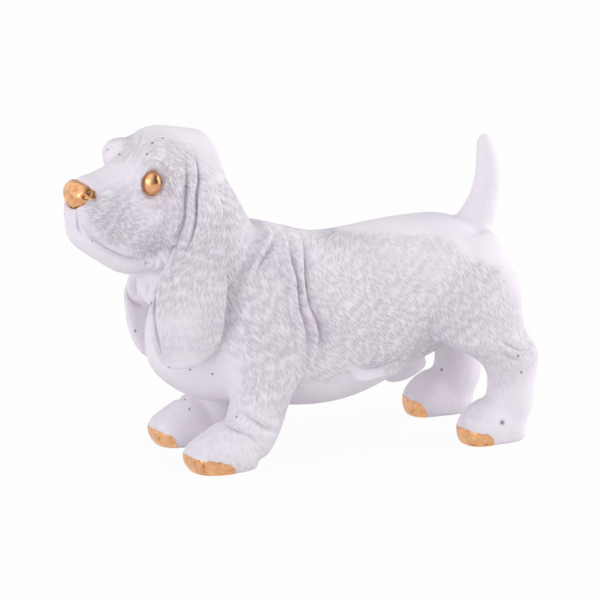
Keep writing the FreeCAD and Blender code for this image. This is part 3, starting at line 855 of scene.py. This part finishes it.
for height, width, pixels in NOSE_FOLDS:
    hits = cast_line(tree, pixels)
    press(points, normals, hits, height * MM, width * MM, NOSE_TAPER)
    press(points, normals, mirrored(tree, hits), height * MM, width * MM, NOSE_TAPER)
set_points(nose, points)
castings["nose"] = nose
print("nose", len(points), "points")

# %% Eyes
LID_OVERLAP = (0.12, 0.1)  # the dome is this much larger than the opening
DOME_OUT = 4.5
for name, side in EYES.items():
    centre = middle(name) + EYE_DROP * MM
    eye = ball(centre, Vector((EYE_WIDE + LID_OVERLAP[0], DOME_OUT, EYE_TALL + LID_OVERLAP[1])) * MM)
    eye.name = name + "_gilded"
    settle(eye)
    castings[name] = eye

# %% [markdown]
# ## Gold leaf on the toes
# The gilder laid leaf on the front of each paw, and it tore off in a ragged line. Each leaf is lifted from
# the paw's own skin, so it fits it, and given a little thickness. The torn edge comes from a fixed noise,
# on faces that are divided finely first.


# %% Lift the leaf from the paw
LEAF_THICKNESS = 0.15 * MM
LEAF_CUTS = 3
SPARE_SKIN = 1.6  # mm of skin kept beyond the edge until the faces are divided
TEARS = ((0.45, 0.9), (0.7, 2.6))  # height and size of the small and the large tears, in mm
LEAF_SIZES = {"front": (17.0, 6.5, 6.6), "hind": (11.0, 5.5, 6.5)}  # outer reach, inner reach and rise
ON_SOLE = 0.01


def drop_faces(obj, unwanted):
    """Deletes the faces whose middle, in mm, is unwanted."""
    only(obj)
    for polygon in obj.data.polygons:
        polygon.select = unwanted(polygon.center / MM)
    bpy.ops.object.mode_set(mode="EDIT")
    bpy.ops.mesh.select_mode(type="FACE")
    bpy.ops.mesh.delete(type="FACE")
    bpy.ops.object.mode_set(mode="OBJECT")


def lift_leaf(leg, node, side, outer_reach, inner_reach, rise):
    """The leaf reaches further back on the outer side; its edge falls off like a quarter ellipse."""
    low, high = [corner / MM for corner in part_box(node)]
    centre_y = (low.y + high.y) / 2
    half = (high.y - low.y) / 2

    def above_edge(c, margin=0.0):
        out = max(-1.0, min(1.0, side * (c.y - centre_y) / half))
        reach = inner_reach + (outer_reach - inner_reach) * (out + 1) / 2 + margin
        back = max(0.0, c.x - low.x)
        if back >= reach:
            return True
        (fine, fine_size), (wide, wide_size) = TEARS
        ragged = fine * noise.noise(c / fine_size) + wide * noise.noise(c / wide_size + Vector((9, 0, 0)))
        return c.z > rise * math.sqrt(1 - (back / reach) ** 2) + margin + (0 if margin else ragged)

    leaf = leg.copy()
    leaf.data = leg.data.copy()
    leaf.name = node + "_gilded"
    bpy.context.scene.collection.objects.link(leaf)
    drop_faces(leaf, lambda c: above_edge(c, SPARE_SKIN) or c.z < ON_SOLE)
    only(leaf)
    bpy.ops.object.mode_set(mode="EDIT")
    bpy.ops.mesh.select_all(action="SELECT")
    bpy.ops.mesh.subdivide(number_cuts=LEAF_CUTS)
    bpy.ops.object.mode_set(mode="OBJECT")
    drop_faces(leaf, above_edge)
    apply(leaf, "SOLIDIFY", thickness=LEAF_THICKNESS, offset=1)
    points = points_of(leaf)
    points[:, 2] = np.maximum(points[:, 2], 0)
    set_points(leaf, points)
    print(leaf.name, len(leaf.data.polygons), "faces")
    return leaf


for name in LEGS:
    side = -1 if "left" in name else 1
    node = name.replace("_leg", "_toe_leaf")
    castings[node] = lift_leaf(castings[name], node, side, *LEAF_SIZES[name.split("_")[0]])

# %% [markdown]
# ## Finishes
# White resin: matt, faintly lilac, with combed grooves that follow the coat attribute, painted shade in the
# grooves, creases and pinholes, and a slight unevenness. Gold leaf: a warm copper gold that is crinkled,
# with worn specks. Both are worked out from places and attributes, so they need no picture and no
# unwrapping.


# %% Node helpers
def add(tree, kind, **values):
    """A new node; in_NAME or in_NUMBER sets the input of that name or number."""
    node = tree.nodes.new(kind)
    for key, value in values.items():
        if key.startswith("in_"):
            name = key[3:]
            node.inputs[int(name) if name.isdigit() else name].default_value = value
        else:
            setattr(node, key, value)
    return node


def link(tree, out, into):
    tree.links.new(out, into)


def noise_in(tree, where, **values):
    node = add(tree, "ShaderNodeTexNoise", **values)
    link(tree, where.outputs["Object"], node.inputs["Vector"])
    return node.outputs[0]


def group_of(name, inputs, outputs):
    """A node group whose inputs and outputs are all plain numbers."""
    group = bpy.data.node_groups.new(name, "ShaderNodeTree")
    number = "NodeSocketFloat"
    for label, value in inputs.items():
        group.interface.new_socket(label, in_out="INPUT", socket_type=number).default_value = value
    for label in outputs:
        group.interface.new_socket(label, in_out="OUTPUT", socket_type=number)
    start = group.nodes.new("NodeGroupInput")
    end = group.nodes.new("NodeGroupOutput")
    return group, start, end


def maths(tree, operation, a, b=None, clamp=False):
    node = tree.nodes.new("ShaderNodeMath")
    node.operation = operation
    node.use_clamp = clamp
    for n, value in enumerate((a, b)):
        if value is None:
            continue
        if isinstance(value, (int, float)):
            node.inputs[n].default_value = value
        else:
            tree.links.new(value, node.inputs[n])
    return node.outputs[0]


# %% Combed grooves, as a group
combed, start, end = group_of(
    "Combed coat", {"Pitch": 1.0, "Length": 5.0, "Seed": 0.0}, ["Groove", "Burr", "Depth"]
)
STROKE_SWAY = 1.2  # mm that a stroke wanders sideways
STROKE_THINNESS = 2.45
BURR_PLACE, BURR_THINNESS = 1.35, 2.2  # the ridge of clay beside a groove
read = add(combed, "ShaderNodeAttribute", attribute_name="coat")
numbers = add(combed, "ShaderNodeSeparateXYZ")
link(combed, read.outputs["Vector"], numbers.inputs[0])
where = add(combed, "ShaderNodeTexCoord")
sway = noise_in(combed, where, in_Scale=160.0, in_Detail=1.0)
swayed = maths(combed, "MULTIPLY", maths(combed, "SUBTRACT", sway, 0.5), STROKE_SWAY)
x = maths(combed, "DIVIDE", maths(combed, "ADD", numbers.outputs[0], swayed), start.outputs["Pitch"])
y = maths(combed, "DIVIDE", numbers.outputs[1], start.outputs["Length"])
both = add(combed, "ShaderNodeCombineXYZ")
link(combed, maths(combed, "ADD", x, start.outputs["Seed"]), both.inputs[0])
link(combed, maths(combed, "ADD", y, start.outputs["Seed"]), both.inputs[1])
strokes = add(
    combed, "ShaderNodeTexVoronoi", voronoi_dimensions="2D", in_Scale=1.0, in_Randomness=0.75
)
link(combed, both.outputs[0], strokes.inputs["Vector"])
away = maths(combed, "MULTIPLY", strokes.outputs["Distance"], STROKE_THINNESS)
groove = maths(combed, "SUBTRACT", 1.0, away, clamp=True)
beside = maths(combed, "ABSOLUTE", maths(combed, "SUBTRACT", away, BURR_PLACE))
burr = maths(combed, "SUBTRACT", 1.0, maths(combed, "MULTIPLY", beside, BURR_THINNESS), clamp=True)
link(combed, groove, end.inputs["Groove"])
link(combed, burr, end.inputs["Burr"])
link(combed, numbers.outputs[2], end.inputs["Depth"])


# %% White resin
FINE_SHARE = 0.7  # the fine strokes against the wide ones
# how dark the painted shade in the combed grooves is
STROKE_SHADE = 0.36
GRAIN_HEIGHT, WAVE_HEIGHT, BURR_HEIGHT = 0.22, 1.2, 0.45  # against a groove's depth
GROOVE_DEPTH = 0.4 * MM
resin = bpy.data.materials.new("Matt white resin")
resin.use_nodes = True
nodes = resin.node_tree
shader = nodes.nodes["Principled BSDF"]
shader.inputs["Roughness"].default_value = 0.62
shader.inputs["Specular IOR Level"].default_value = 0.3
fine = add(nodes, "ShaderNodeGroup", node_tree=combed, in_Pitch=0.66, in_Length=3.8, in_Seed=3.7)
wide = add(nodes, "ShaderNodeGroup", node_tree=combed, in_Pitch=1.0, in_Length=5.0, in_Seed=0.0)
fine_grooves = maths(nodes, "MULTIPLY", fine.outputs["Groove"], FINE_SHARE)
both_grooves = maths(nodes, "MAXIMUM", fine_grooves, wide.outputs["Groove"])
grooves = maths(nodes, "MULTIPLY", both_grooves, fine.outputs["Depth"])
burrs = maths(nodes, "MULTIPLY", wide.outputs["Burr"], fine.outputs["Depth"])
hollow_read = add(nodes, "ShaderNodeAttribute", attribute_name="hollow")
where = add(nodes, "ShaderNodeTexCoord")
mottle = noise_in(nodes, where, in_Scale=55.0, in_Detail=3.0)
tone = add(nodes, "ShaderNodeValToRGB")
tone.color_ramp.elements[0].position = 0.3
tone.color_ramp.elements[0].color = (0.785, 0.73, 0.805, 1)
tone.color_ramp.elements[1].position = 0.7
tone.color_ramp.elements[1].color = (0.84, 0.79, 0.85, 1)
link(nodes, mottle, tone.inputs[0])
# painted shade: grooves, creases and pinholes are coloured towards this dark lilac, for the shade that
# falls in them
painted_dark = add(nodes, "ShaderNodeMix", data_type="RGBA")
painted_dark.inputs["B"].default_value = (0.30, 0.22, 0.29, 1)
shade = maths(nodes, "MAXIMUM", maths(nodes, "MULTIPLY", grooves, STROKE_SHADE), hollow_read.outputs["Fac"])
link(nodes, shade, painted_dark.inputs["Factor"])
link(nodes, tone.outputs[0], painted_dark.inputs["A"])
link(nodes, painted_dark.outputs["Result"], shader.inputs["Base Color"])
grain = noise_in(nodes, where, in_Scale=900.0, in_Detail=2.0)
uneven = noise_in(nodes, where, in_Scale=170.0, in_Detail=2.0)
grained = maths(nodes, "MULTIPLY", grain, GRAIN_HEIGHT)
waved = maths(nodes, "MULTIPLY", uneven, WAVE_HEIGHT)
ribbed = maths(nodes, "SUBTRACT", maths(nodes, "MULTIPLY", burrs, BURR_HEIGHT), grooves)
height = maths(nodes, "ADD", maths(nodes, "ADD", grained, waved), ribbed)
bump = add(nodes, "ShaderNodeBump", in_Strength=1.0, in_Distance=GROOVE_DEPTH)
link(nodes, height, bump.inputs["Height"])
link(nodes, bump.outputs[0], shader.inputs["Normal"])

# %% Copper gold leaf
CRINKLE_HEIGHT = 0.25 * MM
gold = bpy.data.materials.new("Copper gold leaf")
gold.use_nodes = True
nodes = gold.node_tree
shader = nodes.nodes["Principled BSDF"]
shader.inputs["Metallic"].default_value = 1.0
where = add(nodes, "ShaderNodeTexCoord")
wear = noise_in(nodes, where, in_Scale=380.0, in_Detail=4.0, in_Roughness=0.7)
tone = add(nodes, "ShaderNodeValToRGB")
tone.color_ramp.elements[0].position = 0.27
tone.color_ramp.elements[0].color = (0.14, 0.06, 0.035, 1)
tone.color_ramp.elements[1].position = 0.42
tone.color_ramp.elements[1].color = (0.72, 0.36, 0.17, 1)
bright = tone.color_ramp.elements.new(0.7)
bright.color = (0.86, 0.50, 0.27, 1)
link(nodes, wear, tone.inputs[0])
link(nodes, tone.outputs[0], shader.inputs["Base Color"])
rough = add(nodes, "ShaderNodeMapRange", in_3=0.2, in_4=0.42)
link(nodes, wear, rough.inputs[0])
link(nodes, rough.outputs[0], shader.inputs["Roughness"])
crinkle = noise_in(nodes, where, in_Scale=520.0, in_Detail=3.0)
bump = add(nodes, "ShaderNodeBump", in_Strength=0.35, in_Distance=CRINKLE_HEIGHT)
link(nodes, crinkle, bump.inputs["Height"])
link(nodes, bump.outputs[0], shader.inputs["Normal"])

# %% [markdown]
# ## Dressing
# Each casting gets its material and takes the smooth normals of the whole clay where it still has that
# skin.

# %% Dress the castings
SHARP_ANGLE = math.radians(62)
SAME_SKIN = 0.02 * MM
for name, obj in castings.items():
    gilded = "leaf" in name or "eye" in name or name == "nose"
    only(obj)
    obj.data.materials.clear()
    obj.data.materials.append(gold if gilded else resin)
    bpy.ops.object.shade_smooth_by_angle(angle=SHARP_ANGLE)
    if name in CASTINGS:
        apply(
            obj, "DATA_TRANSFER", object=whole, use_loop_data=True, data_types_loops={"CUSTOM_NORMAL"},
            loop_mapping="POLYINTERP_NEAREST", use_max_distance=True, max_distance=SAME_SKIN,
        )
    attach(obj, "root")
    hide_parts(name)
    print(obj.name, sum(len(p.vertices) - 2 for p in obj.data.polygons), "triangles")
bpy.data.objects.remove(whole)

# %% [markdown]
# ## Studio
# A pale floor that runs out to white, even light from all round, and two softboxes low on the left and the
# right. The floor glows for the camera and in reflections, so that it is white and still keeps the shadow.
# In reflections the room is dark on the right, which gives the gold its brown side.

# %% Floor
FLOOR_SIZE = 6
GLOW_SHARE = 0.94  # how much of the floor's own look gives way to white
bpy.ops.mesh.primitive_plane_add(size=FLOOR_SIZE, location=(0, 0, 0))
floor = bpy.context.object
floor.name = "floor"
paper = bpy.data.materials.new("White paper")
paper.use_nodes = True
nodes = paper.node_tree
shader = nodes.nodes["Principled BSDF"]
shader.inputs["Base Color"].default_value = (0.8, 0.8, 0.8, 1)
shader.inputs["Roughness"].default_value = 0.9
glow = add(nodes, "ShaderNodeEmission")
glow.inputs["Color"].default_value = (1, 1, 1, 1)
seen = add(nodes, "ShaderNodeLightPath")
direct = maths(nodes, "MAXIMUM", seen.outputs["Is Camera Ray"], seen.outputs["Is Glossy Ray"])
share = maths(nodes, "MULTIPLY", direct, GLOW_SHARE)
mixed = add(nodes, "ShaderNodeMixShader")
link(nodes, share, mixed.inputs[0])
link(nodes, shader.outputs[0], mixed.inputs[1])
link(nodes, glow.outputs[0], mixed.inputs[2])
link(nodes, mixed.outputs[0], nodes.nodes["Material Output"].inputs[0])
floor.data.materials.append(paper)

# %% World
world = bpy.data.worlds.new("Studio")
bpy.context.scene.world = world
world.use_nodes = True
nodes = world.node_tree
sky = nodes.nodes["Background"]
sky.inputs["Color"].default_value = (1, 1, 1, 1)
seen = add(nodes, "ShaderNodeLightPath")
direct = maths(nodes, "MAXIMUM", seen.outputs["Is Camera Ray"], seen.outputs["Is Transmission Ray"])
level = add(nodes, "ShaderNodeMapRange", in_3=0.82, in_4=1.0)
link(nodes, direct, level.inputs[0])
looking = add(nodes, "ShaderNodeTexCoord")
leftward = add(nodes, "ShaderNodeVectorMath", operation="DOT_PRODUCT")
leftward.inputs[1].default_value = (-0.85, 0.2, 0.5)
link(nodes, looking.outputs["Generated"], leftward.inputs[0])
room = add(nodes, "ShaderNodeMapRange", in_1=-0.25, in_2=0.45, in_3=0.12, in_4=1.25)
link(nodes, leftward.outputs["Value"], room.inputs[0])
reflected = add(nodes, "ShaderNodeMix", data_type="FLOAT")
link(nodes, seen.outputs["Is Glossy Ray"], reflected.inputs[0])
link(nodes, level.outputs[0], reflected.inputs[2])
link(nodes, room.outputs[0], reflected.inputs[3])
link(nodes, reflected.outputs[0], sky.inputs["Strength"])


# %% Lamps
LAMP_HEIGHT = 0.06  # the middle that the lamps point at


def lamp(name, azimuth, elevation, distance, size, energy, colour=(1, 1, 1)):
    a, e = math.radians(azimuth), math.radians(elevation)
    spot = Vector((math.sin(a) * math.cos(e), -math.cos(a) * math.cos(e), math.sin(e))) * distance
    bpy.ops.object.light_add(type="AREA", location=spot + Vector((0, 0, LAMP_HEIGHT)))
    light = bpy.context.object
    light.name = name
    light.data.size = size
    light.data.energy = energy
    light.data.color = colour
    light.rotation_euler = spot.to_track_quat("Z", "Y").to_euler()


lamp("softbox_left", -62, 8, 1.2, 0.8, 4.6, (0.94, 0.95, 1.0))
lamp("softbox_right", 78, 16, 1.2, 0.9, 6.8)

bpy.context.scene.view_settings.view_transform = "Standard"
